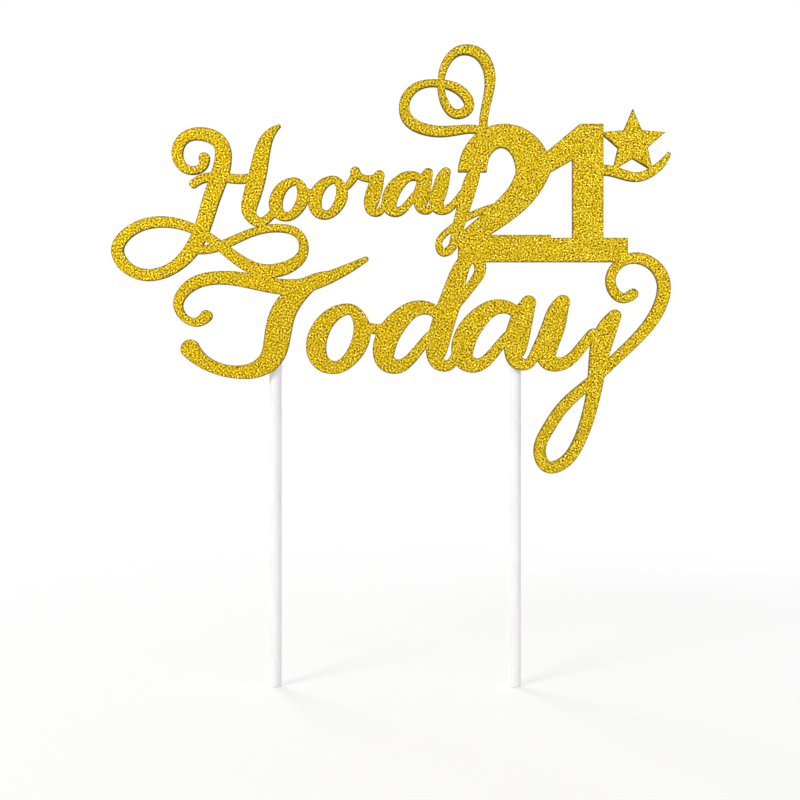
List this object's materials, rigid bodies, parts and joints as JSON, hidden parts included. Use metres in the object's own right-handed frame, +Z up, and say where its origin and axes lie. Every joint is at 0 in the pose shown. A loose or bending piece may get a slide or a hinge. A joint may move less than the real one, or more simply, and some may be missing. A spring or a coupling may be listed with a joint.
{
  "type": "cake topper",
  "caption": "Flat script lettering laser-cut from gold glitter card, with bold numerals, a heart loop and swashes, glued to round white paper sticks that push into a cake.",
  "frame": {"origin": "on the plane of the cake's top, midway between the axes of the two sticks", "axes": "+Z up along the sticks, +X to the right as the lettering reads, lettering faces -Y"},
  "size_m": [0.176, 0.0058, 0.2028],
  "materials": {
    "glitter": "gold glitter",
    "board": "matte, with scorched cut edges",
    "stick_paper": "matte",
    "glue": "satin, translucent"
  },
  "bodies": {
    "root": {"glitter_film": "glitter", "card_core": "board", "left_stick": "stick_paper", "right_stick": "stick_paper", "left_glue": "glue", "right_glue": "glue"}
  },
  "joints": []
}
